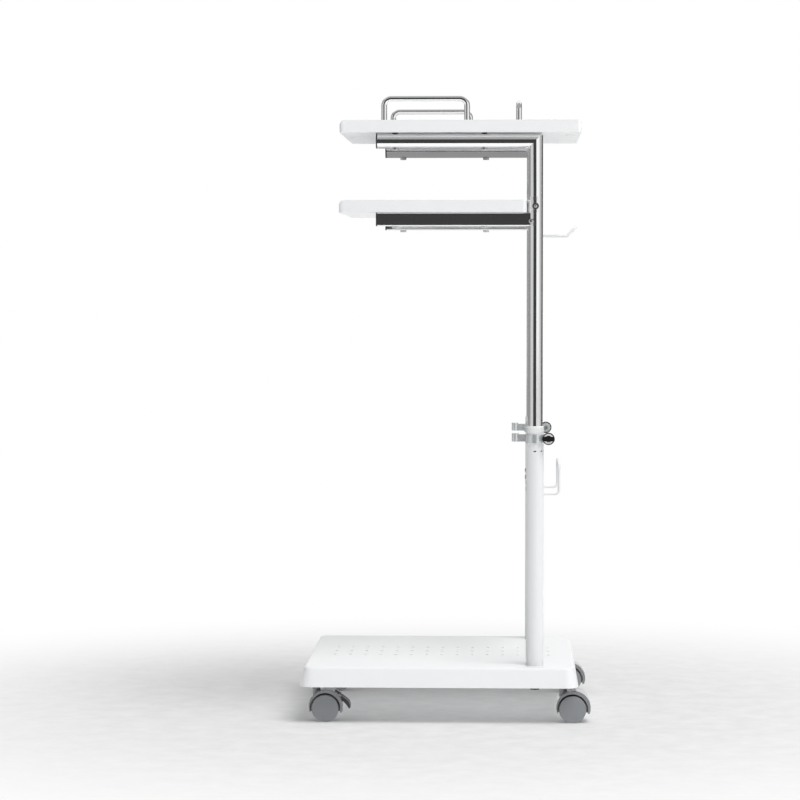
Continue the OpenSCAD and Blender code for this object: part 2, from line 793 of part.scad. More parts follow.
// The clamp ring with its front boss and its rear ears
module clamp_form() {
    at_mast() translate([0, 0, clamp_z]) difference() {
        union() {
            cylinder(r = clamp_r, h = clamp_h);
            translate([-clamp_boss_x, -clamp_arm_w / 2, clamp_boss_up])
                cube([clamp_boss_x, clamp_arm_w, clamp_h - clamp_boss_up]);
            translate([-clamp_boss_x, 0, clamp_boss_up])
                cylinder(r = clamp_boss_r, h = clamp_h + clamp_boss_rise - clamp_boss_up);
            translate([0, -ear_w / 2, 0]) cube([ear_x, ear_w, clamp_h]);
            translate([ear_x, 0, clamp_h / 2]) rod_y(clamp_h / 2, -ear_w / 2, ear_w / 2);
        }
        translate([0, 0, -over]) cylinder(r = mast_r + press_gap, h = clamp_h + 2 * over);
        translate([0, -split_w / 2, -over])
            cube([ear_x + clamp_h, split_w, clamp_h + 2 * over]);
        translate([ear_x, 0, clamp_h / 2])
            rod_y(clamp_screw_r + pin_gap, -ear_w, ear_w);
    }
}

// The clamp screw, from inside the knob to the far ear
module clamp_screw_form() {
    at_mast() translate([ear_x, 0, clamp_z + clamp_h / 2])
        rod_y(clamp_screw_r, -knob_back - knob_disc_t / 2, ear_w / 2);
}

// The round knob with a bar across its face to turn it by
module knob_form() {
    at_mast() translate([ear_x, 0, clamp_z + clamp_h / 2]) difference() {
        union() {
            rod_y(knob_hub_r, -knob_back - knob_disc_t / 2, -knob_in);
            rotate([90, 0, 0]) translate([0, 0, knob_back]) rotate_extrude() polygon(concat(
                [[0, 0], [knob_r, 0]],
                [for (i = [0 : bend_steps])
                    let (share = 1 - i / bend_steps)
                    [knob_r * share, knob_disc_t - knob_dome * share * share]]
            ));
            intersection() {
                rod_y(knob_r, -knob_out, -knob_back);
                translate([-knob_r, -knob_out, -knob_bar_w / 2])
                    cube([2 * knob_r, knob_out - knob_back, knob_bar_w]);
            }
        }
        rod_y(clamp_screw_r + press_gap, -knob_back - knob_disc_t / 2 - press_gap, 0);
    }
}

module clamp_ring_left() { color("darkgray") clamp_form(); }
module clamp_ring_right() { color("darkgray") right_side() clamp_form(); }
module clamp_screw_left() { color("silver") clamp_screw_form(); }
module clamp_screw_right() { color("silver") right_side() clamp_screw_form(); }
module clamp_knob_left() { color("black") knob_form(); }
module clamp_knob_right() { color("black") right_side() knob_form(); }

// ---- Lower cross plate and hook ----

module cross_plate() {
    half = mast_y - mast_r - plate_end_gap;
    color("white") difference() {
        translate([mast_x - plate_x, -half, plate_z]) cube([plate_d, 2 * half, plate_h]);
        translate([mast_x - plate_x + plate_t, -half - over, plate_z + plate_t])
            cube([plate_d, 2 * (half + over), plate_h - 2 * plate_t]);
        at_mast() plate_screw_holes(plate_screw_r + press_gap);
        right_side() at_mast() plate_screw_holes(plate_screw_r + press_gap);
    }
}

// Button-head screws, two at each end of the plate
module cross_plate_screws() {
    color("dimgray") at_masts() for (side = [-1, 1])
        translate([-plate_x, plate_screw_y,
            plate_z + plate_h / 2 + side * plate_screw_pitch / 2]) rotate([0, 90, 0]) {
            translate([0, 0, -plate_head_h]) cylinder(r = plate_head_r, h = plate_head_h, $fn = 32);
            cylinder(r = plate_screw_r, h = plate_t + tab_t + over, $fn = 32);
        }
}

// Two floor wires run back from the plate and turn up to a bar that joins them
module lower_cable_hook() {
    floor_z = plate_z + plate_t + hook_r;
    start = plate_t - plate_x;
    color("white") translate([mast_x, 0, floor_z]) {
        for (side = [-1, 1]) translate([0, side * lower_hook_w / 2, 0]) {
            translate([start, 0, 0]) rotate([0, 90, 0])
                cylinder(r = hook_r, h = lower_hook_reach - hook_bend_r - start, $fn = 32);
            translate([lower_hook_reach - hook_bend_r, 0, hook_bend_r]) rotate([0, 90, 0])
                wire_bend(hook_r, hook_bend_r, 90);
            translate([lower_hook_reach, 0, hook_bend_r])
                cylinder(r = hook_r, h = lower_hook_h - 2 * hook_bend_r, $fn = 32);
            translate([lower_hook_reach, -side * hook_bend_r, lower_hook_h - hook_bend_r])
                rotate([0, 0, side * 90]) wire_bend(hook_r, hook_bend_r, 90);
        }
        translate([lower_hook_reach, 0, lower_hook_h])
            rod_y(hook_r, hook_bend_r - lower_hook_w / 2, lower_hook_w / 2 - hook_bend_r);
    }
}

// ---- Upper frame ----

// All that lies above the mitre plane between a mast and its arm
module above_mitre() {
    size = 4 * inner_r;
    translate([0, 0, arm_z]) rotate([0, -45, 0]) translate([-size, -size, 0])
        cube([2 * size, 2 * size, 2 * size]);
}

// The tip of the corner, cut off square to the mitre
module corner_tip() {
    size = 4 * inner_r;
    translate([0, 0, arm_z]) rotate([0, 45, 0])
        translate([-size, -size, inner_r * sqrt(2) - mitre_cut])
        cube([2 * size, 2 * size, 2 * size]);
}

module inner_mast_form() {
    at_mast() difference() {
        translate([0, 0, inner_bottom])
            tube(inner_r, inner_t, arm_z + 2 * inner_r - inner_bottom);
        above_mitre();
        corner_tip();
        translate([0, 0, lower_arm_z + saddle_bolt_up])
            rod_y(saddle_bolt_r + press_gap, -2 * inner_r, 2 * inner_r);
        translate([-saddle_screw_x, 0, lower_arm_z + saddle_screw_up])
            rod_y(saddle_screw_r + press_gap, -2 * inner_r, 0);
    }
}

module upper_arm_form() {
    at_mast() difference() {
        translate([-arm_reach, 0, arm_z]) rotate([0, 90, 0])
            tube(inner_r, inner_t, arm_reach + 2 * inner_r);
        translate([0, 0, arm_z]) rotate([0, 180, 0]) translate([0, 0, -arm_z]) above_mitre();
        corner_tip();
        for (x = upper_screws)
            translate([-x, 0, arm_z - 2 * inner_r])
                cylinder(r = screw_r + hole_gap, h = 4 * inner_r, $fn = 32);
    }
}

module upper_arm_plugs() {
    color("dimgray") at_masts() translate([-arm_reach, 0, arm_z]) rotate([0, 90, 0]) {
        translate([0, 0, -arm_plug_t]) cylinder(r = inner_r, h = arm_plug_t);
        cylinder(r = inner_r - inner_t - press_gap, h = arm_plug_l);
    }
}

module upper_cross_tube() {
    color("silver") difference() {
        translate([mast_x, mast_y, cross_z]) rotate([90, 0, 0])
            tube(cross_r, cross_t, 2 * mast_y);
        at_masts() translate([0, 0, cross_z - 2 * cross_r])
            cylinder(r = inner_r + press_gap, h = 4 * cross_r);
    }
}

// Two wires run back from the cross tube and rise to a short bar at the tip
module upper_cable_hook() {
    rise = 45;
    tip = upper_hook_tip / cos(rise);
    hook_z = cross_z - upper_hook_down;
    color("white") difference() {
        for (side = [-1, 1]) translate([mast_x, side * upper_hook_w / 2, hook_z]) {
            rotate([0, 90, 0]) cylinder(r = hook_r, h = upper_hook_reach, $fn = 32);
            translate([upper_hook_reach, 0, 0]) sphere(r = hook_r, $fn = 32);
            translate([upper_hook_reach, 0, 0]) rotate([0, 90 - rise, 0]) {
                cylinder(r = hook_r, h = tip - hook_bend_r, $fn = 32);
                translate([0, -side * hook_bend_r, tip - hook_bend_r])
                    rotate([0, 0, side * 90]) wire_bend(hook_r, hook_bend_r, 90);
            }
        }
        translate([mast_x, 0, cross_z])
            rod_y(cross_r + press_gap, -upper_hook_w, upper_hook_w);
    }
    color("white") translate([mast_x + upper_hook_reach, 0, hook_z]) rotate([0, 90 - rise, 0])
        translate([0, 0, tip])
        rod_y(hook_r, hook_bend_r - upper_hook_w / 2, upper_hook_w / 2 - hook_bend_r);
}

module inner_mast_left() { color("silver") inner_mast_form(); }
module inner_mast_right() { color("silver") right_side() inner_mast_form(); }
module upper_arm_left() { color("silver") upper_arm_form(); }
module upper_arm_right() { color("silver") right_side() upper_arm_form(); }

// ---- Shelves ----

// A board's section in X and Z, its front nose rounded as a quarter ellipse
function board_section(front, rear) = concat(
    [[front, 0], [rear, 0]],
    [for (i = [0 : bend_steps])
        let (a = 90 * i / bend_steps)
        [rear - rear_round + rear_round * cos(a), board_t - rear_round + rear_round * sin(a)]],
    [for (i = [0 : nose_steps])
        let (a = 90 + 90 * i / nose_steps)
        [front + nose_l + nose_l * cos(a), board_t - nose_h + nose_h * sin(a)]]
);

// A board's plan with rounded corners, as a block through the whole thickness
module board_plan(front, rear) {
    y = board_w / 2 - board_corner_r;
    for (x = [front + board_corner_r, rear - board_corner_r], side = [-1, 1])
        translate([x, side * y, -over])
            cylinder(r = board_corner_r, h = board_t + 2 * over, $fn = 32);
    translate([front + board_corner_r, -board_w / 2, -over])
        cube([rear - front - 2 * board_corner_r, board_w, board_t + 2 * over]);
    translate([front, -y, -over]) cube([rear - front, 2 * y, board_t + 2 * over]);
}

module board(front, rear, screws) {
    difference() {
        intersection() {
            slab_y(board_w) polygon(board_section(front, rear));
            board_plan(front, rear);
        }
        for (x = screws, side = [-1, 1])
            translate([-x, side * mast_y, -over])
                cylinder(r = screw_r + press_gap, h = screw_bite + press_gap + over, $fn = 32);
    }
}

module upper_shelf() {
    hole = guard_bite + press_gap;
    color("white") translate([mast_x, 0, upper_z]) difference() {
        board(-upper_front, upper_rear, upper_screws);
        for (side = [-1, 1], leg = [-1, 1])
            translate([leg * guard_pitch / 2 - guard_x, side * guard_y, board_t - hole])
                cylinder(r = guard_r + press_gap, h = hole + over, $fn = 32);
        for (leg = [-1, 1])
            translate([-guard_rear_x, leg * guard_pitch / 2, board_t - hole])
                cylinder(r = guard_r + press_gap, h = hole + over, $fn = 32);
    }
}

module lower_shelf() {
    color("white") translate([mast_x, 0, lower_z]) board(-lower_front, -lower_rear, lower_screws);
}

// Pads between the round arms and the flat board, hollowed to the arms
module shelf_pads() {
    color("dimgray") at_masts() difference() {
        for (x = upper_screws)
            translate([-x, 0, arm_z]) cylinder(r = pad_r, h = inner_r + pad_t, $fn = 48);
        translate([-arm_reach, 0, arm_z]) rotate([0, 90, 0])
            cylinder(r = inner_r + press_gap, h = arm_reach);
        for (x = upper_screws)
            translate([-x, 0, arm_z]) cylinder(r = screw_r + hole_gap, h = 2 * inner_r, $fn = 32);
    }
}

// A pan-head screw from under an arm, its head's top at z = 0
module shelf_screw(through) {
    translate([0, 0, -screw_head_h]) cylinder(r = screw_head_r, h = screw_head_h, $fn = 32);
    cylinder(r = screw_r, h = through + screw_bite, $fn = 32);
}

module shelf_screws() {
    color("dimgray") at_masts() {
        for (x = upper_screws)
            translate([-x, 0, arm_z - inner_r]) shelf_screw(2 * inner_r + pad_t);
        for (x = lower_screws)
            translate([-x, 0, lower_arm_z]) shelf_screw(lower_arm_a);
    }
}

// ---- Lower arms and saddles ----

// The outline of a square with rounded corners about the origin
function round_square(side, r) = [
    for (quarter = [0 : 3], i = [0 : bend_steps])
        let (
            a = 90 * quarter + 90 * i / bend_steps,
            sx = quarter == 0 || quarter == 3 ? 1 : -1,
            sy = quarter < 2 ? 1 : -1
        )
        [sx * (side / 2 - r) + r * cos(a), sy * (side / 2 - r) + r * sin(a)]
];

module lower_arm_form() {
    hollow = lower_arm_a - 2 * lower_arm_t;
    at_mast() difference() {
        translate([-lower_arm_reach, 0, lower_arm_z + lower_arm_a / 2]) rotate([90, 0, 90])
            linear_extrude(height = lower_arm_reach)
            polygon(round_square(lower_arm_a, lower_arm_round));
        translate([-lower_arm_reach - over, -hollow / 2, lower_arm_z + lower_arm_t])
            cube([lower_arm_reach + 2 * over, hollow, hollow]);
        translate([0, 0, lower_arm_z - over])
            cylinder(r = saddle_r + press_gap, h = lower_arm_a + 2 * over);
        for (x = lower_screws)
            translate([-x, 0, lower_arm_z - over])
                cylinder(r = screw_r + hole_gap, h = lower_arm_a + 2 * over, $fn = 32);
        translate([-saddle_screw_x, 0, lower_arm_z + saddle_screw_up])
            rod_y(saddle_screw_r + press_gap, -lower_arm_a, 0);
    }
}

module lower_arm_caps() {
    spigot = lower_arm_a - 2 * (lower_arm_t + press_gap);
    color("dimgray") at_masts()
        translate([-lower_arm_reach, 0, lower_arm_z + lower_arm_a / 2]) {
            translate([-arm_cap_t, 0, 0]) rotate([90, 0, 90])
                linear_extrude(height = arm_cap_t)
                polygon(round_square(lower_arm_a, lower_arm_round));
            translate([-arm_cap_t / 2, -spigot / 2, -spigot / 2])
                cube([arm_plug_l, spigot, spigot]);
        }
}

// A sheet cup round the front of the mast, open at the rear, narrower beside the arm
module saddle_form() {
    at_mast() translate([0, 0, lower_arm_z]) difference() {
        cylinder(r = saddle_r, h = saddle_h);
        translate([0, 0, -over]) cylinder(r = inner_r + press_gap, h = saddle_h + 2 * over);
        translate([saddle_back, -2 * saddle_r, -over])
            cube([2 * saddle_r, 4 * saddle_r, saddle_h + 2 * over]);
        translate([-saddle_low_x, -2 * saddle_r, -over])
            cube([2 * saddle_r, 4 * saddle_r, lower_arm_a + over]);
        translate([0, 0, saddle_bolt_up])
            rod_y(saddle_bolt_r + press_gap, -2 * saddle_r, 2 * saddle_r);
        translate([-saddle_screw_x, 0, saddle_screw_up])
            rod_y(saddle_screw_r + press_gap, -2 * saddle_r, 0);
    }
}

// A bolt through each mast and a small screw below it, heads on the outside
module saddle_bolts() {
    color("silver") at_masts() difference() {
        union() {
            translate([0, 0, lower_arm_z + saddle_bolt_up]) {
                rod_y(saddle_bolt_r, -saddle_r, saddle_r);
                rod_y(saddle_head_r, -saddle_r - saddle_head_h, -inner_r);
                rod_y(saddle_head_r, inner_r, saddle_r + saddle_head_h);
            }
            translate([-saddle_screw_x, 0, lower_arm_z + saddle_screw_up]) {
                rod_y(saddle_screw_r, -saddle_r, -inner_r / 2);
                rod_y(saddle_screw_head_r, -saddle_r - saddle_screw_head_h,
                    -lower_arm_a / 2 - press_gap);
            }
        }
        difference() {
            translate([0, 0, lower_arm_z - over])
                cylinder(r = saddle_r + press_gap, h = saddle_h + 2 * over);
            translate([0, 0, lower_arm_z + saddle_bolt_up])
                rod_y(saddle_bolt_r, -2 * saddle_r, 2 * saddle_r);
            translate([-saddle_screw_x, 0, lower_arm_z + saddle_screw_up])
                rod_y(saddle_screw_r, -2 * saddle_r, 0);
        }
    }
}

module lower_arm_left() { color("dimgray") lower_arm_form(); }
module lower_arm_right() { color("dimgray") right_side() lower_arm_form(); }
module saddle_left() { color("darkgray") saddle_form(); }
module saddle_right() { color("darkgray") right_side() saddle_form(); }

// ---- Guards ----

module guard_form() {
    wire_arch(guard_r, guard_bend_r, guard_pitch, guard_bite + guard_rise);
}

module guard_left() {
    color("silver") translate([mast_x - guard_x, -guard_y, upper_top - guard_bite]) guard_form();
}
module guard_right() {
    color("silver") translate([mast_x - guard_x, guard_y, upper_top - guard_bite]) guard_form();
}
module guard_rear() {
    color("silver") translate([mast_x - guard_rear_x, 0, upper_top - guard_bite])
        rotate([0, 0, 90]) guard_form();
}

base_deck();
base_rail_left();
base_rail_right();
caster_stems();
caster_nuts();
mast_bolts();
mast_foot_plug_left();
mast_foot_plug_right();
outer_mast_left();
outer_mast_right();
mast_bush_left();
mast_bush_right();
clamp_ring_left();
clamp_ring_right();
clamp_screw_left();
clamp_screw_right();
clamp_knob_left();
clamp_knob_right();
cross_plate();
cross_plate_screws();
lower_cable_hook();
inner_mast_left();
inner_mast_right();
upper_arm_left();
upper_arm_right();
upper_arm_plugs();
upper_cross_tube();
upper_cable_hook();
upper_shelf();
shelf_pads();
shelf_screws();
lower_shelf();
lower_arm_left();
lower_arm_right();
lower_arm_caps();
saddle_left();
saddle_right();
saddle_bolts();
guard_left();
guard_right();
guard_rear();
hood_front_left();
hood_front_right();
hood_rear_left();
hood_rear_right();
axle_front_left();
axle_front_right();
axle_rear_left();
axle_rear_right();
wheel_front_left_outer();
wheel_front_left_inner();
wheel_front_right_outer();
wheel_front_right_inner();
wheel_rear_left_outer();
wheel_rear_left_inner();
wheel_rear_right_outer();
wheel_rear_right_inner();
brake_pedal_left();
brake_pedal_right();
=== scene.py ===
# %% [markdown]
# # A projector cart, dressed for its picture
# The cart's metal and wood already exist as exact solids. This lesson gives them
# their finishes, softens their edges, adds the small trims that solids leave out,
# and sets up a pale studio. Each code cell is one step and prints what it did.

# %% Load the frame
import math

import bmesh
import bpy
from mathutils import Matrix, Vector


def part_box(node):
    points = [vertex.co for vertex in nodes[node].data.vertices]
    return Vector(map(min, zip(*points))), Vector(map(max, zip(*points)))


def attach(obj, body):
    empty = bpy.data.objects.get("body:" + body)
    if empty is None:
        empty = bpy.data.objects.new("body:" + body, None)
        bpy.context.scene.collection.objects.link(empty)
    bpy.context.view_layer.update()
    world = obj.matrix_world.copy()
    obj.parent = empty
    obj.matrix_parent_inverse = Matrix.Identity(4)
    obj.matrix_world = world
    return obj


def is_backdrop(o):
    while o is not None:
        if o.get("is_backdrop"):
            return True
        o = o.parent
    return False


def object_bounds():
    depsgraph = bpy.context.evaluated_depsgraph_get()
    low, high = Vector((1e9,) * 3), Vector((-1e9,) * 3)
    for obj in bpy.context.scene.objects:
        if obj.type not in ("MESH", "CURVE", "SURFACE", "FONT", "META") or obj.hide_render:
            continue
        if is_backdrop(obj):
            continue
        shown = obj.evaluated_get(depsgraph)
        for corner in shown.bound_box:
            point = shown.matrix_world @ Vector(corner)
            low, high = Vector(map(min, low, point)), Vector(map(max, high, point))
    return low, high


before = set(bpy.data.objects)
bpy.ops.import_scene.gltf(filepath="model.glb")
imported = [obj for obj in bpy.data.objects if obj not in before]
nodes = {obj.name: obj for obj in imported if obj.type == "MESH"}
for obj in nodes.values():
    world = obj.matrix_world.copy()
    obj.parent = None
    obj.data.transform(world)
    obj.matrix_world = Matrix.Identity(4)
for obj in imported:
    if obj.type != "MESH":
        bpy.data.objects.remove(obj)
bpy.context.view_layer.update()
scene = bpy.context.scene

# %% [markdown]
# ## The camera
# A long lens far away keeps uprights upright, as product pictures do. It stands
# right of the cart's middle, close to the masts' line, and above half its height, so
# that the deck's top and the boards' undersides both show. Lens, place and turn come
# from the picture's own perspective: lines that run away from the camera meet at one
# point of the image.

# %% Place the camera
MM = 0.001
IMAGE = 800                      # width and height of the picture in pixels
FOCAL_PX = 2902                  # focal length in pixels
MEET_PX = (511, 284.7)           # where lines along +Y meet
SENSOR_MM = 36
FAR_CLIP = 100                   # metres
EYE_LEFT = 35.5 * MM             # how far left of the masts the lens stands
EYE_Y, EYE_Z = -4.41, 0.6415
mast_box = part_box("inner_mast_left")
mast_x = (mast_box[0][0] + mast_box[1][0]) / 2
eye = Vector((mast_x - EYE_LEFT, EYE_Y, EYE_Z))

camera_data = bpy.data.cameras.new("Camera")
camera_data.sensor_width = SENSOR_MM
camera_data.lens = SENSOR_MM * FOCAL_PX / IMAGE
camera_data.clip_end = FAR_CLIP
camera = bpy.data.objects.new("Camera", camera_data)
turn = math.atan((MEET_PX[0] - IMAGE / 2) / FOCAL_PX)
tilt = math.atan((IMAGE / 2 - MEET_PX[1]) / FOCAL_PX)
camera.location = eye
camera.rotation_euler = (math.pi / 2 - tilt, 0, turn)
scene.collection.objects.link(camera)
scene.camera = camera
print("lens mm:", round(camera_data.lens, 1), "turn:", round(math.degrees(turn), 2))

# %% [markdown]
# ## Helpers for materials
# Every finish below is a node tree. Small helpers keep the cells short. They add a
# node and set its inputs, start a node group or a material, place a group in a
# material, and give a shader its colour and skin. So an effect such as fine grain
# is made once and used often.

# %% Define the node helpers
def add_node(tree, kind, links=None, **settings):
    """A node with attributes from settings and inputs from links.

    A link goes from an input's name or number to a value or a socket.
    """
    made = tree.nodes.new(kind)
    for name, value in settings.items():
        setattr(made, name, value)
    for name, value in (links or {}).items():
        if isinstance(value, bpy.types.NodeSocket):
            tree.links.new(value, made.inputs[name])
        else:
            made.inputs[name].default_value = value
    return made


def new_group(name, inputs, outputs):
    """An empty effect group, its inner input node and its inner output node."""
    tree = bpy.data.node_groups.new(name, "ShaderNodeTree")
    for label, kind, value in inputs:
        socket = tree.interface.new_socket(name=label, in_out="INPUT", socket_type=kind)
        socket.default_value = value
    for label, kind in outputs:
        tree.interface.new_socket(name=label, in_out="OUTPUT", socket_type=kind)
    return tree, tree.nodes.new("NodeGroupInput"), tree.nodes.new("NodeGroupOutput")


def new_material(name):
    """A material with an empty tree, its Principled shader and its tree."""
    made = bpy.data.materials.new(name)
    made.use_nodes = True
    shader = made.node_tree.nodes["Principled BSDF"]
    return made, made.node_tree, shader


def use_group(tree, group, **values):
    """An effect group placed in a material with its own values."""
    made = tree.nodes.new("ShaderNodeGroup")
    made.node_tree = group
    for name, value in values.items():
        made.inputs[name.replace("_", " ")].default_value = value
    return made


def dress(tree, shader, colour, skin, bump_mm):
    """Give a shader its colour, and the roughness and bumps of a skin group."""
    bump = add_node(tree, "ShaderNodeBump", {
        "Height": skin.outputs["Height"], "Distance": bump_mm * MM, "Strength": 1.0})
    tree.links.new(colour, shader.inputs["Base Color"])
    tree.links.new(skin.outputs["Roughness"], shader.inputs["Roughness"])
    tree.links.new(bump.outputs["Normal"], shader.inputs["Normal"])


print("helpers ready")

# %% [markdown]
# ## Grain
# Powder coat, nylon and die-cast metal all have a fine, uneven skin. Noise gives
# it: one fine layer for the bumps and one slow layer for the faint change of
# gloss that a real coat has. Both are read in object space, so the grain has a
# real size and stays put when the camera moves.

# %% Build the grain group
SOCKET = "NodeSocketFloat"
NOISE_LOW, NOISE_HIGH = 0.3, 0.7      # the range that most of a noise lies in
grain, g_in, g_out = new_group(
    "Fine Grain",
    [("Grains per metre", SOCKET, 1500.0), ("Patches per metre", SOCKET, 9.0),
     ("Low", SOCKET, 0.3), ("High", SOCKET, 0.5)],
    [("Height", SOCKET), ("Roughness", SOCKET)],
)
place = add_node(grain, "ShaderNodeTexCoord").outputs["Object"]
fine = add_node(grain, "ShaderNodeTexNoise", {
    "Vector": place, "Scale": g_in.outputs["Grains per metre"], "Detail": 2.0, "Roughness": 0.55})
slow = add_node(grain, "ShaderNodeTexNoise", {
    "Vector": place, "Scale": g_in.outputs["Patches per metre"], "Detail": 3.0, "Roughness": 0.6})
spread = add_node(grain, "ShaderNodeMapRange", {
    "Value": slow.outputs["Fac"], "From Min": NOISE_LOW, "From Max": NOISE_HIGH,
    "To Min": g_in.outputs["Low"], "To Max": g_in.outputs["High"]})
grain.links.new(fine.outputs["Fac"], g_out.inputs["Height"])
grain.links.new(spread.outputs["Result"], g_out.inputs["Roughness"])
print("group:", grain.name)

# %% [markdown]
# ## Drawn lines
# Polished tube still carries faint lines from its last polish, and plate or rolled
# steel carries them more strongly. A noise that is stretched along one axis gives
# such lines. The stretch is three numbers, so one group serves tubes that stand
# up and tubes that lie down.

# %% Build the drawn-line group
drawn, d_in, d_out = new_group(
    "Drawn Lines",
    [("Stretch", "NodeSocketVector", (1.0, 1.0, 0.02)), ("Lines per metre", SOCKET, 2500.0),
     ("Low", SOCKET, 0.05), ("High", SOCKET, 0.12)],
    [("Height", SOCKET), ("Roughness", SOCKET)],
)
place = add_node(drawn, "ShaderNodeTexCoord").outputs["Object"]
long_way = add_node(drawn, "ShaderNodeVectorMath", {
    0: place, 1: d_in.outputs["Stretch"]}, operation="MULTIPLY")
lines = add_node(drawn, "ShaderNodeTexNoise", {
    "Vector": long_way.outputs["Vector"], "Scale": d_in.outputs["Lines per metre"],
    "Detail": 3.0, "Roughness": 0.6})
smear = add_node(drawn, "ShaderNodeTexNoise", {"Vector": place, "Scale": 14.0, "Detail": 4.0})
both = add_node(drawn, "ShaderNodeMath", {
    0: lines.outputs["Fac"], 1: smear.outputs["Fac"]}, operation="MULTIPLY")
spread = add_node(drawn, "ShaderNodeMapRange", {
    "Value": both.outputs["Value"], "From Min": 0.12, "From Max": 0.4,
    "To Min": d_in.outputs["Low"], "To Max": d_in.outputs["High"]})
drawn.links.new(lines.outputs["Fac"], d_out.inputs["Height"])
drawn.links.new(spread.outputs["Result"], d_out.inputs["Roughness"])
print("group:", drawn.name)

# %% [markdown]
# ## Dust
# A cart that has been used has a little dust on what faces up, thicker in some
# places. The mask is the upward part of the normal times a slow noise, and the
# group mixes the colour that it is given towards grey by it.

# %% Build the dust group
dust, u_in, u_out = new_group(
    "Settled Dust",
    [("Colour", "NodeSocketColor", (0.8, 0.8, 0.8, 1.0)), ("Amount", SOCKET, 0.1)],
    [("Colour", "NodeSocketColor")],
)
place = add_node(dust, "ShaderNodeTexCoord").outputs["Object"]
facing = add_node(dust, "ShaderNodeSeparateXYZ", {
    "Vector": add_node(dust, "ShaderNodeNewGeometry").outputs["Normal"]})
cloud = add_node(dust, "ShaderNodeTexNoise", {"Vector": place, "Scale": 22.0, "Detail": 6.0})
upward = add_node(dust, "ShaderNodeMapRange", {
    "Value": facing.outputs["Z"], "From Min": 0.3, "From Max": 1.0, "To Min": 0.15, "To Max": 1.0})
share = add_node(dust, "ShaderNodeMath", {
    0: upward.outputs["Result"], 1: cloud.outputs["Fac"]}, operation="MULTIPLY")
mask = add_node(dust, "ShaderNodeMath", {
    0: share.outputs["Value"], 1: u_in.outputs["Amount"]}, operation="MULTIPLY")
DUST_GREY = (0.42, 0.41, 0.39, 1)
tint = add_node(dust, "ShaderNodeMix", {
    "Factor": mask.outputs["Value"], 6: u_in.outputs["Colour"], 7: DUST_GREY}, data_type="RGBA")
dust.links.new(tint.outputs[2], u_out.inputs["Colour"])
print("group:", dust.name)

# %% [markdown]
# ## Coats and plastics
# White powder coat, white laminate, grey nylon, black steel and the silver paint
# of the castings are all one kind of finish: a colour, a dust tint, a grain in
# roughness and a shallow bump. One function makes such a material from a few plain
# numbers, and a list holds the numbers, so a finish is changed in one line. The
# deck has the masts' white coat, made glossier, and its colour is a little paler than
# the masts': painted light, for more light on the deck's top.

# %% Make the coated finishes
COAT_ROUGHNESS = 0.1


def coated(name, colour, gloss, grains, bump_mm, dusty, coat=0.0):
    """A dielectric finish: gloss is (lowest, highest) roughness."""
    made, tree, shader = new_material(name)
    skin = use_group(tree, grain, Grains_per_metre=grains, Low=gloss[0], High=gloss[1])
    settled = use_group(tree, dust, Colour=(*colour, 1), Amount=dusty)
    dress(tree, shader, settled.outputs["Colour"], skin, bump_mm)
    shader.inputs["Coat Weight"].default_value = coat
    shader.inputs["Coat Roughness"].default_value = COAT_ROUGHNESS
    return made


# name, colour, roughness, grains per metre, bump in mm, dust, coat
COATS = [
    ("white_powder", (0.80, 0.813, 0.820), (0.34, 0.44), 1100, 0.012, 0.04, 0.0),
    # The deck: the masts' white coat, its colour painted paler as painted light on its top.
    ("deck_powder", (0.85, 0.862, 0.87), (0.30, 0.40), 1100, 0.012, 0.04, 0.25),
    ("white_laminate", (0.86, 0.872, 0.88), (0.26, 0.34), 2200, 0.004, 0.03, 0.0),
    ("white_nylon", (0.80, 0.812, 0.812), (0.38, 0.48), 1800, 0.006, 0.04, 0.0),
    ("caster_nylon", (0.190, 0.193, 0.200), (0.24, 0.34), 1600, 0.008, 0.12, 0.7),
    ("wheel_nylon", (0.232, 0.243, 0.254), (0.40, 0.52), 1500, 0.008, 0.16, 0.0),
    ("dark_nylon", (0.030, 0.030, 0.033), (0.38, 0.50), 1500, 0.010, 0.15, 0.0),
    ("silver_paint", (0.64, 0.665, 0.67), (0.18, 0.28), 1300, 0.006, 0.04, 0.3),
    ("black_steel", (0.035, 0.035, 0.038), (0.30, 0.42), 1500, 0.008, 0.10, 0.0),
]
finish = {row[0]: coated(*row) for row in COATS}
SILVER_FLAKE = 0.5               # how far the silver paint mirrors like metal
finish["silver_paint"].node_tree.nodes["Principled BSDF"].inputs[
    "Metallic"].default_value = SILVER_FLAKE
print("coated finishes:", sorted(finish))

# %% [markdown]
# ## The knob and its painted highlight
# The knob is glossy black, with a black rim, hub and grip bar. The white ring on its
# disc, between hub and rim, is a painted highlight that stands in for the light a
# glossy black dome catches. It is one moulding in the solids, so its material tells
# the parts apart by their place: how far a point lies from the knob's axis, and whether
# it lies out on the bar. The place is read in object space, so the pattern turns with the knob.

# %% Make the knob's finish
RIM_R, HUB_R = 7.3 * MM, 4.9 * MM
BAR_STARTS = 3.4 * MM            # how far the bar's face stands out over the disc
BLEND = 0.1 * MM                 # half width of the change from one tone to the other
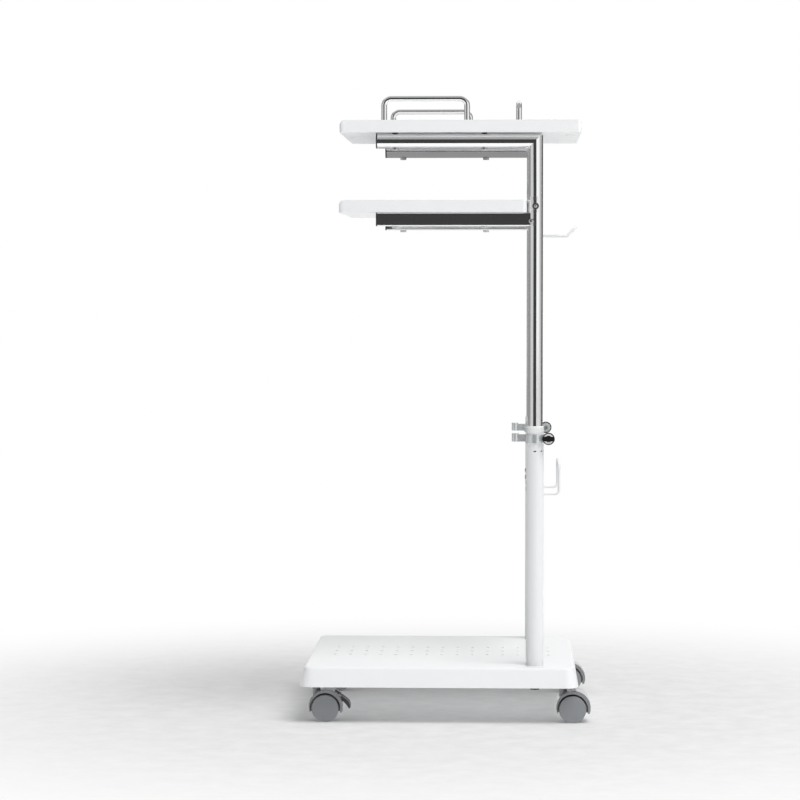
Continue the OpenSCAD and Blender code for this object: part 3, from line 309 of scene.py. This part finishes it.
# The white is a painted highlight on the glossy black knob; the black is its own colour.
KNOB_BLACK, KNOB_PAINTED_HIGHLIGHT = (0.012, 0.012, 0.013, 1), (0.74, 0.75, 0.75, 1)
KNOB_COAT = 0.5
knob_lo, knob_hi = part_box("clamp_knob_left")
knob_x, knob_z = (knob_lo[0] + knob_hi[0]) / 2, (knob_lo[2] + knob_hi[2]) / 2
made, tree, shader = new_material("knob_two_tone")
place = add_node(tree, "ShaderNodeSeparateXYZ", {
    "Vector": add_node(tree, "ShaderNodeTexCoord").outputs["Object"]})
from_axis = add_node(tree, "ShaderNodeCombineXYZ")
for source, target, middle in (("X", "X", knob_x), ("Z", "Y", knob_z)):
    shifted = add_node(tree, "ShaderNodeMath", {
        0: place.outputs[source], 1: middle}, operation="SUBTRACT")
    tree.links.new(shifted.outputs["Value"], from_axis.inputs[target])
radius = add_node(tree, "ShaderNodeVectorMath", {
    0: from_axis.outputs["Vector"]}, operation="LENGTH")
outward = add_node(tree, "ShaderNodeMath", {0: place.outputs["Y"]}, operation="ABSOLUTE")
bar_y = abs(knob_lo[1]) - BAR_STARTS
masks = [
    add_node(tree, "ShaderNodeMapRange", {
        "Value": value, "From Min": at - BLEND, "From Max": at + BLEND,
        "To Min": first, "To Max": 1.0 - first})
    for value, at, first in ((radius.outputs["Value"], HUB_R, 0.0),
                             (radius.outputs["Value"], RIM_R, 1.0),
                             (outward.outputs["Value"], bar_y, 1.0))]
ring = add_node(tree, "ShaderNodeMath", {
    0: masks[0].outputs["Result"], 1: masks[1].outputs["Result"]}, operation="MULTIPLY")
# The white ring's mask, between hub and rim and off the bar, is where the highlight is painted.
painted_highlight_part = add_node(tree, "ShaderNodeMath", {
    0: ring.outputs["Value"], 1: masks[2].outputs["Result"]}, operation="MULTIPLY")
tones = add_node(tree, "ShaderNodeMix", {
    "Factor": painted_highlight_part.outputs["Value"], 6: KNOB_BLACK, 7: KNOB_PAINTED_HIGHLIGHT}, data_type="RGBA")
skin = use_group(tree, grain, Grains_per_metre=900.0, Low=0.16, High=0.26)
dress(tree, shader, tones.outputs[2], skin, 0.004)
shader.inputs["Coat Weight"].default_value = KNOB_COAT
shader.inputs["Coat Roughness"].default_value = COAT_ROUGHNESS
finish["knob_two_tone"] = made
print("knob axis:", round(knob_x, 4), round(knob_z, 4), "bar from:", round(bar_y, 4))

# %% [markdown]
# ## Metals
# Chrome plate is a mirror with very faint drawn lines, zinc plate is a duller and
# greyer mirror. The lines run along each tube, so chrome comes three times: for
# tubes that stand, tubes that run front to rear, and tubes that run across. The
# saddle that carries the lower board is nickel plate.

# %% Make the metal finishes
METAL_DUST = 0.05


def metal(name, colour, gloss, stretch, lines_per_metre, bump_mm):
    """A metal finish with lines along the axis where stretch is small."""
    made, tree, shader = new_material(name)
    marks = use_group(tree, drawn, Stretch=stretch, Lines_per_metre=lines_per_metre,
                      Low=gloss[0], High=gloss[1])
    settled = use_group(tree, dust, Colour=(*colour, 1), Amount=METAL_DUST)
    dress(tree, shader, settled.outputs["Colour"], marks, bump_mm)
    shader.inputs["Metallic"].default_value = 1.0
    return made


CHROME = (0.91, 0.91, 0.915)
ZINC = (0.56, 0.56, 0.57)
NICKEL = (0.86, 0.86, 0.855)
EVEN = (1.0, 1.0, 1.0)           # no drawn direction
ALONG = {"x": (0.02, 1.0, 1.0), "y": (1.0, 0.02, 1.0), "z": (1.0, 1.0, 0.02)}
for axis, stretch in ALONG.items():
    finish["chrome_" + axis] = metal("chrome_" + axis, CHROME, (0.05, 0.11), stretch, 2500, 0.0006)
finish["zinc_plate"] = metal("zinc_plate", ZINC, (0.26, 0.40), EVEN, 1800, 0.004)
finish["bright_nickel"] = metal("bright_nickel", NICKEL, (0.16, 0.24), EVEN, 1800, 0.002)
print("metal finishes:", [n for n in finish if "chrome" in n or "zinc" in n])

# %% [markdown]
# ## Which piece has which finish
# A solid keeps its mesh and only gets a material. WEARS goes from a finish to the
# first words of the solids' names. Where two starts fit a name, the longer one
# counts. The last line prints any solid left bare.

# %% Assign the finishes
WEARS = {
    # The deck's finish is the masts' white with painted light in its paler colour.
    "deck_powder": ["base_deck"],
    "white_powder": ["outer_mast", "cross_plate", "lower_cable_hook", "upper_cable_hook"],
    "white_laminate": ["upper_shelf", "lower_shelf"],
    "white_nylon": ["mast_bush"],
    "caster_nylon": ["hood_"],
    "wheel_nylon": ["wheel_"],
    "dark_nylon": ["brake_pedal", "upper_arm_plugs", "lower_arm_caps", "shelf_pads",
                   "mast_foot_plug"],
    # The knob's finish is black with a painted highlight.
    "knob_two_tone": ["clamp_knob"],
    "silver_paint": ["clamp_ring"],
    "bright_nickel": ["saddle_left", "saddle_right"],
    "chrome_z": ["inner_mast"],
    "chrome_x": ["upper_arm_left", "upper_arm_right", "lower_arm_left", "lower_arm_right",
                 "guard_left", "guard_right"],
    "chrome_y": ["upper_cross_tube", "guard_rear"],
    "zinc_plate": ["base_rail", "caster_stems", "caster_nuts", "clamp_screw",
                   "cross_plate_screws", "shelf_screws", "saddle_bolts", "axle_"],
    "black_steel": ["mast_bolts"],
}


def longest_start(node_name, starts):
    """The longest of the given starts that a name has, or None."""
    return max((s for s in starts if node_name.startswith(s)), key=len, default=None)


finish_of_start = {start: name for name, starts in WEARS.items() for start in starts}
start_of_node = {name: longest_start(name, finish_of_start) for name in nodes}
worn = {name: finish_of_start[start] for name, start in start_of_node.items() if start}
for node_name, finish_name in worn.items():
    slots = nodes[node_name].data.materials
    for i in range(len(slots)):
        slots[i] = finish[finish_name]
    if not slots:
        slots.append(finish[finish_name])
print("finished:", len(worn), "bare:", sorted(set(nodes) - set(worn)))

# %% [markdown]
# ## Soft edges
# No real edge is perfectly sharp: sheet is deburred, board edges are banded and
# castings are rounded. A narrow bevel catches the light along each edge. It only
# takes material away, so the piece stays inside its solid. Widths follow the piece.

# %% Soften the edges
CREASE_DEG = 38                  # edges that turn by more than this are softened
BEVEL_SEGMENTS = 2
EDGES_MM = {
    "base_deck": 0.5, "upper_shelf": 0.8, "lower_shelf": 0.8, "clamp_ring": 0.5,
    "clamp_knob": 0.6, "hood_": 0.5, "wheel_": 0.3, "brake_pedal": 0.5,
    "lower_arm_caps": 0.4, "saddle_bolts": 0.9, "saddle_": 0.25, "cross_plate_screws": 0.7,
    "cross_plate": 0.3,
    "upper_arm_plugs": 0.5, "mast_bolts": 0.5, "caster_stems": 0.4, "shelf_screws": 0.5,
    "mast_bush": 0.3, "outer_mast": 0.3, "caster_nuts": 0.4,
}
softened = 0
for node_name, node in nodes.items():
    for polygon in node.data.polygons:
        polygon.use_smooth = True
    start = longest_start(node_name, EDGES_MM)
    if start is None:
        continue
    soft = node.modifiers.new("soft edge", "BEVEL")
    soft.width = EDGES_MM[start] * MM
    soft.segments = BEVEL_SEGMENTS
    soft.limit_method = "ANGLE"
    soft.angle_limit = math.radians(CREASE_DEG)
    soft.use_clamp_overlap = True
    soft.harden_normals = False
    softened += 1
print("softened:", softened)

# %% [markdown]
# ## Cross recesses
# The small screws are driven by a cross. A hidden mesh of small crosses is taken
# out of the heads with a Boolean modifier, so each recess is real geometry. The
# crosses hang on the screws' own object and follow it when a joint moves. Their
# places come from the boxes of the screws and arms.

# %% Sink the crosses
CROSS_HALF, CROSS_DEPTH = 0.42 * MM, 1.0 * MM    # half width of an arm, and depth


def linked_object(name, made, material=None):
    """A linked object from a built mesh, with its material if it has one."""
    mesh = bpy.data.meshes.new(name)
    made.to_mesh(mesh)
    made.free()
    if material:
        mesh.materials.append(material)
    piece = bpy.data.objects.new(name, mesh)
    scene.collection.objects.link(piece)
    return piece


def sink_crosses(node_name, spots, axis, reach_mm):
    """Cross recesses in the heads at the given spots, with arms of the given reach."""
    a, b = reach_mm * MM, CROSS_HALF
    outline = [(a, b), (b, b), (b, a), (-b, a), (-b, b), (-a, b),
               (-a, -b), (-b, -b), (-b, -a), (b, -a), (b, -b), (a, -b)]
    turn = Vector((0, 0, 1)).rotation_difference(Vector(axis))
    made = bmesh.new()
    for spot in spots:
        ends = [[made.verts.new(Vector(spot) + turn @ Vector((x, y, side * CROSS_DEPTH)))
                 for x, y in outline] for side in (-1, 1)]
        made.faces.new(list(reversed(ends[0])))
        made.faces.new(ends[1])
        for i in range(len(outline)):
            j = (i + 1) % len(outline)
            made.faces.new([ends[0][i], ends[0][j], ends[1][j], ends[1][i]])
    cutter = linked_object(node_name + "_crosses", made)
    cutter.hide_render = True
    cutter.display_type = "WIRE"
    cutter.parent = nodes[node_name]
    cut = nodes[node_name].modifiers.new("cross recess", "BOOLEAN")
    cut.operation = "DIFFERENCE"
    cut.solver = "EXACT"
    cut.object = cutter
    print(node_name, "recesses:", len(spots))


def inner_box(node_name, margin_mm):
    """A node's box made smaller on every side."""
    margin = Vector((margin_mm * MM,) * 3)
    return Vector(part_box(node_name)[0]) + margin, Vector(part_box(node_name)[1]) - margin


BOARD_SCREW_R, PLATE_SCREW_R = 4.8, 3.2     # head radii in mm
BOARD_CROSS, PLATE_CROSS, SIDE_CROSS = 2.4, 1.7, 1.8     # reach of each cross in mm
SIDE_SCREW_X, SIDE_SCREW_UP, SIDE_SCREW_IN = 6.6, 7.0, 1.2
lo, hi = inner_box("shelf_screws", BOARD_SCREW_R)
screw_floors = (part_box("lower_arm_left")[0][2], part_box("upper_arm_left")[0][2])
head_depth = screw_floors[0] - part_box("shelf_screws")[0][2]
sink_crosses("shelf_screws", [(x, y, z - head_depth) for x in (lo.x, hi.x)
                              for y in (lo.y, hi.y) for z in screw_floors], (0, 0, 1),
             BOARD_CROSS)
lo, hi = inner_box("cross_plate_screws", PLATE_SCREW_R)
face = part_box("cross_plate_screws")[0][0]
sink_crosses("cross_plate_screws", [(face, y, z) for y in (lo.y, hi.y)
                                    for z in (lo.z, hi.z)], (1, 0, 0), PLATE_CROSS)
lo, hi = inner_box("saddle_bolts", SIDE_SCREW_IN)
sink_crosses("saddle_bolts", [(mast_x - SIDE_SCREW_X * MM, y,
                               screw_floors[0] + SIDE_SCREW_UP * MM)
                              for y in (lo.y, hi.y)], (0, 1, 0), SIDE_CROSS)

# %% [markdown]
# ## Rings under the saddle bolts
# Each saddle bolt's head sits in a near-black ring. It is one lathe profile
# turned round the bolt's axis: a flat back, a round outer edge and a lip that
# grips the head. It rides with the frame that it is on.

# %% Turn the rings
RING_SEGMENTS = 48
BOLT_HEAD_R = 4.35 * MM
# (radius, height) in mm from the head's outer face, positive to the outside
RING_PROFILE = [(2.7, -0.7), (2.7, 0.05), (2.9, 0.22), (3.5, 0.28), (4.2, 0.22), (4.7, -0.1),
                (4.85, -0.5), (4.85, -1.6), (4.5, -1.9), (4.4, -1.0)]
bolt_lo, bolt_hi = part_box("saddle_bolts")
bolt_axis = Vector((mast_x, 0, bolt_hi[2] - BOLT_HEAD_R))


def lathe_ring(name, face_y, outside):
    """A turned ring on the bolt's axis; outside is -1 or 1 along Y."""
    made = bmesh.new()
    turns = []
    for step in range(RING_SEGMENTS):
        angle = 2 * math.pi * step / RING_SEGMENTS
        turns.append([made.verts.new((
            bolt_axis.x + r * MM * math.cos(angle), face_y + outside * h * MM,
            bolt_axis.z + r * MM * math.sin(angle))) for r, h in RING_PROFILE])
    count = len(RING_PROFILE)
    for step, ring_now in enumerate(turns):
        ring_next = turns[(step + 1) % RING_SEGMENTS]
        for i in range(count):
            j = (i + 1) % count
            made.faces.new([ring_now[i], ring_now[j], ring_next[j], ring_next[i]])
    bmesh.ops.recalc_face_normals(made, faces=made.faces)
    for face in made.faces:
        face.smooth = True
    piece = linked_object(name, made, finish["dark_nylon"])
    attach(piece, "upper_frame")
    return piece


for side_name, face_y, outside in (("left", bolt_lo[1], -1), ("right", bolt_hi[1], 1)):
    made_ring = lathe_ring("saddle_ring_" + side_name, face_y, outside)
    print(made_ring.name, "across mm:", round(made_ring.dimensions.x / MM, 2))

# %% [markdown]
# ## The studio
# A pale floor takes the cart's shadow. To the eye it is part plain white from
# the start, which keeps the shadow light, and far from the cart it is all white,
# as the background is, so no horizon shows. Its tone is faintly mottled, as a real
# studio floor is. The world is white to the eye and in reflections, and a plain
# grey as ambient light.

# %% Make the floor and the background
def plane(name, centre, right, up, material):
    """A flat card with half sizes given by its two edge vectors."""
    made = bmesh.new()
    corners = [centre - right - up, centre + right - up, centre + right + up, centre - right + up]
    made.faces.new([made.verts.new(c) for c in corners])
    card = linked_object(name, made, material)
    card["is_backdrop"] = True
    return card


FLOOR_GLOW = 0.34                # the brightly lit floor's light on what faces down
FLOOR_HALF = 14                  # half the floor's width
FLOOR_ROUGHNESS = 0.9
FLOOR_DIM, FLOOR_PALE = 0.70, 0.82       # the tones that the mottle runs between
WHITE_FROM, WHITE_TO = 0.20, 1.25        # where the change to plain white starts and ends
floor_mat, tree, shader = new_material("studio_floor")
shader.inputs["Roughness"].default_value = FLOOR_ROUGHNESS
shader.inputs["Emission Color"].default_value = (1, 1, 1, 1)
seen = add_node(tree, "ShaderNodeLightPath")
glow = add_node(tree, "ShaderNodeMapRange", {
    "Value": seen.outputs["Is Camera Ray"], "To Min": FLOOR_GLOW, "To Max": 0.0})
tree.links.new(glow.outputs["Result"], shader.inputs["Emission Strength"])
place = add_node(tree, "ShaderNodeTexCoord").outputs["Object"]
mottle = add_node(tree, "ShaderNodeTexNoise", {
    "Vector": place, "Scale": 24.0, "Detail": 9.0, "Roughness": 0.68})
tone = add_node(tree, "ShaderNodeMapRange", {
    "Value": mottle.outputs["Fac"], "From Min": NOISE_LOW, "From Max": NOISE_HIGH,
    "To Min": FLOOR_DIM, "To Max": FLOOR_PALE})
shade = add_node(tree, "ShaderNodeCombineColor")
for channel in ("Red", "Green", "Blue"):
    tree.links.new(tone.outputs["Result"], shade.inputs[channel])
tree.links.new(shade.outputs["Color"], shader.inputs["Base Color"])
white = add_node(tree, "ShaderNodeEmission", {"Color": (1, 1, 1, 1), "Strength": 1.0})
away = add_node(tree, "ShaderNodeVectorMath", {0: place}, operation="LENGTH")
NEAR_WHITE = 0.12                # how white the floor already is at the cart
far = add_node(tree, "ShaderNodeMapRange", {
    "Value": away.outputs["Value"], "From Min": WHITE_FROM, "From Max": WHITE_TO,
    "To Min": NEAR_WHITE, "To Max": 1.0}, interpolation_type="SMOOTHSTEP")
blend = add_node(tree, "ShaderNodeMath", {
    0: far.outputs["Result"], 1: seen.outputs["Is Camera Ray"]}, operation="MULTIPLY")
mixed = add_node(tree, "ShaderNodeMixShader", {"Fac": blend.outputs["Value"]})
tree.links.new(shader.outputs["BSDF"], mixed.inputs[1])
tree.links.new(white.outputs["Emission"], mixed.inputs[2])
tree.links.new(mixed.outputs["Shader"], tree.nodes["Material Output"].inputs["Surface"])
plane("studio_floor", Vector((0, 0, 0)), Vector((FLOOR_HALF, 0, 0)),
      Vector((0, FLOOR_HALF, 0)), floor_mat)

AMBIENT = 0.32                   # the world's light on what is not glossy
world = bpy.data.worlds.new("Studio")
scene.world = world
world.use_nodes = True
tree = world.node_tree
back = tree.nodes["Background"]
ray = add_node(tree, "ShaderNodeLightPath")
sees = add_node(tree, "ShaderNodeMath", {
    0: ray.outputs["Is Camera Ray"], 1: ray.outputs["Is Glossy Ray"]}, operation="MAXIMUM")
level = add_node(tree, "ShaderNodeMapRange", {
    "Value": sees.outputs["Value"], "To Min": AMBIENT, "To Max": 1.0})
back.inputs["Color"].default_value = (1, 1, 1, 1)
tree.links.new(level.outputs["Result"], back.inputs["Strength"])
print("floor and world ready, ambient:", AMBIENT)

# %% [markdown]
# ## Cards for the chrome
# Chrome only shows what stands round it. In a white room it would vanish, so a
# photographer sets up black and grey cards. Each card here is bent round the cart
# at one distance and is seen by reflections alone. A round tube turns the whole
# room into bands: the dark card behind the camera gives the dark middle line, the
# grey ones shade the left and right flanks, and a thin one draws the right edge.
# Two dark ones stand behind the cart for a view from behind, and the gap between
# them keeps the deck's top pale from the front. A small grey card between the
# boards is painted shade: seen in reflections only, it stands in for the shade
# there, so the far arm reflects it darker.

# %% Set up the cards
CARD_FAR = 7.0                   # distance of the bent cards
CARD_MID_Z = 0.7                 # height from which their angles rise
CARD_STEPS = 10
SHORT_RISE, TALL_RISE, TOP_RISE = (-33, 22), (-33, 40), (22, 62)     # degrees
LOWEST_Z = 0.003                 # a standing card ends just above the floor
OVERHEAD_Z = 13.8
LOW_CARD_Z, LOW_CARD_NEAR = 0.004, 1.25  # height and near edge of the card on the floor
SMALL_CARD_Y, SMALL_CARD_Z = 0.16, 0.79
SMALL_CARD_X_HALF, SMALL_CARD_Y_HALF = 0.13, 0.2


def card_material(name, tone):
    """A plain glowing tone, so that no lamp changes it."""
    made, tree, shader = new_material(name)
    glow = add_node(tree, "ShaderNodeEmission", {"Color": (tone, tone, tone, 1), "Strength": 1.0})
    tree.links.new(glow.outputs["Emission"], tree.nodes["Material Output"].inputs["Surface"])
    return made


def reflections_only(card):
    """Hide a card from everything but glossy rays."""
    card.visible_camera = False
    card.visible_diffuse = False
    card.visible_shadow = False
    card.visible_transmission = False
    card.visible_volume_scatter = False
    return card


def card_strip(name, turn, edges, tone):
    """A strip between two rings, given as (distance, height), over a range of turns.

    A turn is in degrees from the camera's side, and counts up to the camera's right.
    """
    made = bmesh.new()
    rings = []
    for distance, height in edges:
        ring = []
        for step in range(CARD_STEPS + 1):
            angle = math.radians(turn[0] + (turn[1] - turn[0]) * step / CARD_STEPS)
            ring.append(made.verts.new(
                (mast_x + distance * math.sin(angle), -distance * math.cos(angle), height)))
        rings.append(ring)
    for step in range(CARD_STEPS):
        made.faces.new([rings[0][step], rings[0][step + 1], rings[1][step + 1], rings[1][step]])
    card = linked_object(name, made, card_material(name, tone))
    card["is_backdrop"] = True
    return reflections_only(card)


def card_wall(name, turn, rise, tone):
    """A standing card between two angles of rise above the cart's middle."""
    heights = [max(LOWEST_Z, CARD_MID_Z + CARD_FAR * math.tan(math.radians(r))) for r in rise]
    return card_strip(name, turn, [(CARD_FAR, h) for h in heights], tone)


card_wall("card_camera_side", (-31, 15), SHORT_RISE, 0.05)
card_wall("card_camera_top", (-90, 90), TOP_RISE, 0.40)
card_strip("card_overhead", (-90, 90), [(CARD_FAR, OVERHEAD_Z), (0.0, OVERHEAD_Z)], 0.40)
card_wall("card_left", (-70, -31), SHORT_RISE, 0.64)
card_wall("card_far_left", (-140, -74), TALL_RISE, 0.31)
card_wall("card_right", (57, 72), TALL_RISE, 0.80)
card_wall("card_far_right", (72, 100), TALL_RISE, 0.50)
card_wall("card_right_edge", (103, 132), TALL_RISE, 0.04)
card_wall("card_rear_right", (134, 154), SHORT_RISE, 0.06)
card_wall("card_rear_left", (204, 218), SHORT_RISE, 0.06)
card_strip("card_low_front", (-31, 15), [(CARD_FAR, LOW_CARD_Z), (LOW_CARD_NEAR, LOW_CARD_Z)], 0.05)

# Painted shade: a grey card between the boards, seen only by reflections, stands in for the shade
# there.
card = plane("painted_shade_card_between_boards",
             Vector((mast_x - SMALL_CARD_X_HALF, SMALL_CARD_Y, SMALL_CARD_Z)),
             Vector((SMALL_CARD_X_HALF, 0, 0)), Vector((0, SMALL_CARD_Y_HALF, 0)),
             card_material("painted_shade_card_between_boards", 0.30))
reflections_only(card)

# %% [markdown]
# ## Lamps
# Large soft lamps. The key hangs high, in front and to the right: it lights the
# tops, rounds the white masts, and reaches the deck past the boards. The two at the
# sides only fill. Their level is plain, so a white coat comes out white without
# clipping. The cards make the reflections, so the lamps stay out of them.

# %% Hang the lamps
def softbox(name, place, target, size, power):
    """A rectangular lamp that faces its target."""
    data = bpy.data.lights.new(name, "AREA")
    data.shape = "RECTANGLE"
    data.size, data.size_y = size
    data.energy = power
    lamp = bpy.data.objects.new(name, data)
    lamp.location = place
    lamp.rotation_euler = (Vector(target) - Vector(place)).to_track_quat("-Z", "Y").to_euler()
    lamp.visible_glossy = False
    scene.collection.objects.link(lamp)
    return lamp


CENTRE = (0, 0, 0.5)
softbox("lamp_top", (2.2, -2.5, 6.3), CENTRE, (4.0, 4.0), 400)
softbox("lamp_right", (3.2, -1.0, 1.2), CENTRE, (1.6, 2.4), 6)
softbox("lamp_left", (-3.0, -1.6, 1.2), CENTRE, (1.6, 2.4), 2)

# %% [markdown]
# ## The picture's tone
# The standard view shows colours as they are written. The last line ends the lesson.

# %% Set the view and print the sizes
scene.view_settings.view_transform = "Standard"
lo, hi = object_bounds()
print("visual box:", [round(v, 4) for v in (*lo, *hi)])
